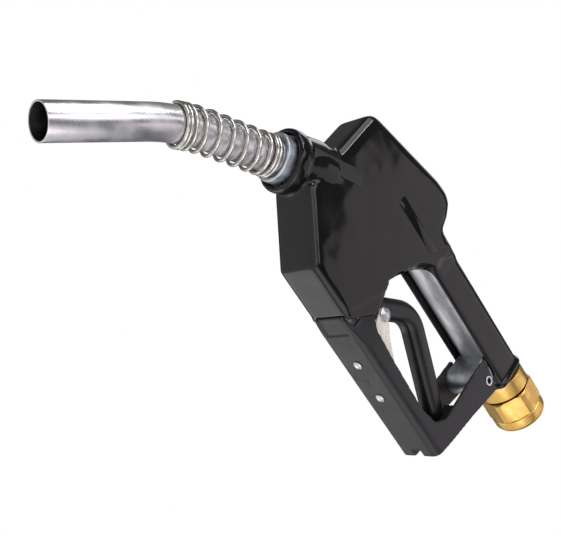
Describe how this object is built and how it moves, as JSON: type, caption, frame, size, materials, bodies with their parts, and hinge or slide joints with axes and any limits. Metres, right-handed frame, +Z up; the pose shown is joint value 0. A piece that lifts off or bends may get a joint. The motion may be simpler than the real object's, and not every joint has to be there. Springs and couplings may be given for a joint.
{
  "type": "fuel nozzle",
  "caption": "Hand-held automatic fuel nozzle: bent spout with an anchor spring, covered body and handle, squeeze lever, loop guard with hold-open latch, and a threaded swivel inlet.",
  "frame": {"origin": "middle of the inlet's threaded mouth, on the thread's axis", "axes": "+X leaves the inlet along the handle's axis, towards the hose; +Z is up, from the lever to the handle; -X and down is where the spout points; the nozzle is symmetric about Y = 0"},
  "size_m": [0.4308, 0.045, 0.2444],
  "materials": {
    "cast_alloy": "as-cast, matte with a fine grain",
    "cover_vinyl": "dip-moulded flexible vinyl, high gloss",
    "spout_aluminium": "drawn tube, bright with fine lengthwise lines",
    "brass_fine": "fine turned",
    "plated_steel": "bright zinc plated",
    "spring_steel": "drawn wire, bright",
    "zinc_plated": "blue-grey zinc plated, satin",
    "seal_rubber": "matte",
    "stainless": "ground",
    "packing_plastic": "matte",
    "lever_coat": "black coating, satin",
    "latch_plating": "pale plated, satin",
    "rivet_steel": "formed and polished head",
    "guard_coat": "black coating, semi-matte, rubbed along its edges",
    "inlet_brass": "turned and milled, satin"
  },
  "bodies": {
    "body": {"body_casting": "cast_alloy", "hand_cover": "cover_vinyl", "spout_tube": "spout_aluminium", "vent_tube": "brass_fine", "vent_port": "plated_steel", "anchor_spring": "spring_steel", "spout_nut": "zinc_plated", "spout_adapter": "brass_fine", "spout_seal": "seal_rubber", "check_seat": "plated_steel", "check_spring": "spring_steel", "check_guide": "plated_steel", "main_spring": "spring_steel", "body_cap": "cast_alloy", "cap_seal": "seal_rubber", "stem_packing": "packing_plastic", "gland_nut": "brass_fine", "vacuum_cap": "cast_alloy", "cap_screws": "plated_steel", "diaphragm_spring": "spring_steel", "plunger_bush": "brass_fine", "plunger_spring": "spring_steel", "hold_open_rack": "zinc_plated", "rack_rivets": "rivet_steel", "lever_guard": "guard_coat", "guard_pin": "plated_steel", "guard_screws": "plated_steel", "inlet_adapter": "inlet_brass", "swivel_seals": "seal_rubber", "swivel_ring": "stainless", "thrust_washer": "seal_rubber", "inlet_strainer": "stainless"},
    "plunger_rod": {"plunger": "stainless", "lever_pin": "stainless", "pin_clips": "plated_steel", "latch_balls": "stainless"},
    "hand_lever": {"lever": "lever_coat", "latch_rivet": "rivet_steel", "latch_spring": "spring_steel"},
    "latch": {"latch_plate": "latch_plating"},
    "poppet": {"main_stem": "stainless", "poppet_disc": "brass_fine", "disc_seal": "seal_rubber"},
    "shutoff_pin": {"latch_pin": "stainless", "diaphragm": "seal_rubber"},
    "check_valve": {"check_poppet": "brass_fine"},
    "swivel": {"swivel_nut": "inlet_brass"}
  },
  "joints": [
    {"name": "plunger_slide", "type": "slide", "parent": "body", "child": "plunger_rod", "axis": [0, 0, 1], "range_m": [-0.005, 0], "stiffness_N_per_m": 2500, "springref_m": 0.012, "deforming": ["plunger_spring"]},
    {"name": "lever_hinge", "type": "hinge", "parent": "plunger_rod", "child": "hand_lever", "pos_m": [-0.24, 0, -0.092], "axis": [0, -1, 0], "range_deg": [0, 12], "stiffness_Nm_per_rad": 2.5, "springref_deg": -20.05},
    {"name": "latch_hinge", "type": "hinge", "parent": "hand_lever", "child": "latch", "pos_m": [-0.1708, 0, -0.0722], "axis": [0, 1, 0], "range_deg": [0, 8], "stiffness_Nm_per_rad": 0.08, "springref_deg": -34.38},
    {"name": "poppet_slide", "type": "slide", "parent": "body", "child": "poppet", "axis": [0, 0, 1], "range_m": [0, 0.0072], "deforming": ["main_spring"]},
    {"name": "shutoff_pin_slide", "type": "slide", "parent": "body", "child": "shutoff_pin", "axis": [0, 0, 1], "range_m": [0, 0.0032], "stiffness_N_per_m": 400, "springref_m": -0.005, "deforming": ["diaphragm_spring", "diaphragm"]},
    {"name": "check_slide", "type": "slide", "parent": "body", "child": "check_valve", "axis": [-0.7826, 0, -0.6225], "range_m": [0, 0.004], "stiffness_N_per_m": 500, "springref_m": -0.004, "deforming": ["check_spring"]},
    {"name": "swivel_turn", "type": "hinge", "parent": "body", "child": "swivel", "pos_m": [0, 0, 0], "axis": [1, 0, 0], "continuous": true}
  ],
  "couplings": [
    {"joint": "poppet_slide", "follows": "lever_hinge", "m_per_rad": 0.0338}
  ]
}
